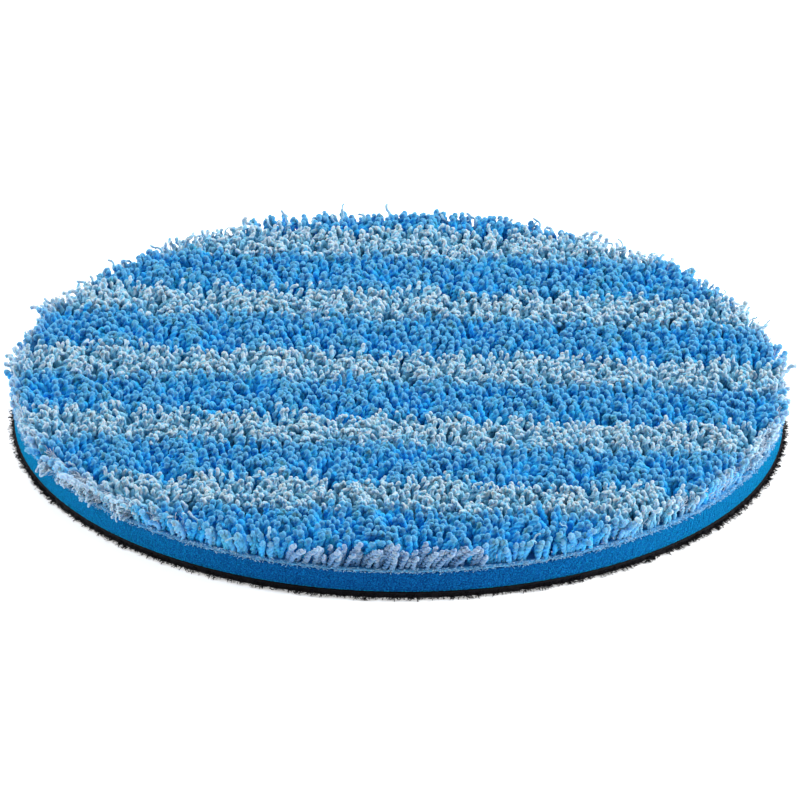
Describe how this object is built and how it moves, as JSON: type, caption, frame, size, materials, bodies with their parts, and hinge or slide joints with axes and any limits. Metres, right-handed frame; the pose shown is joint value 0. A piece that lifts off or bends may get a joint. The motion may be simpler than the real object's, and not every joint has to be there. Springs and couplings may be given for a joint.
{
  "type": "polishing pad",
  "caption": "Round flat polishing pad: striped blue and pale twisted microfibre pile on a thin blue foam disc, with a black loop fabric back that grips a hook-faced plate.",
  "frame": {"origin": "centre of the loop fabric's lower face, the face the pad lies on and is mounted by", "axes": "+Z out of the pile, away from the backing plate; the stripes run along X"},
  "size_m": [0.1514, 0.1514, 0.0118],
  "materials": {
    "loop_fabric": "matte",
    "adhesive": "matte",
    "foam": "matte",
    "ground_cloth": "matte",
    "blue_yarn": "matte",
    "pale_yarn": "matte"
  },
  "bodies": {
    "root": {"loop_fabric": "loop_fabric", "lower_adhesive": "adhesive", "foam_disc": "foam", "upper_adhesive": "adhesive", "ground_cloth": "ground_cloth", "pile_pale_1": "pale_yarn", "pile_pale_2": "pale_yarn", "pile_pale_3": "pale_yarn", "pile_pale_4": "pale_yarn", "pile_pale_5": "pale_yarn", "pile_pale_6": "pale_yarn", "pile_blue_1": "blue_yarn", "pile_blue_2": "blue_yarn", "pile_blue_3": "blue_yarn", "pile_blue_4": "blue_yarn", "pile_blue_5": "blue_yarn", "pile_blue_6": "blue_yarn"}
  },
  "joints": []
}
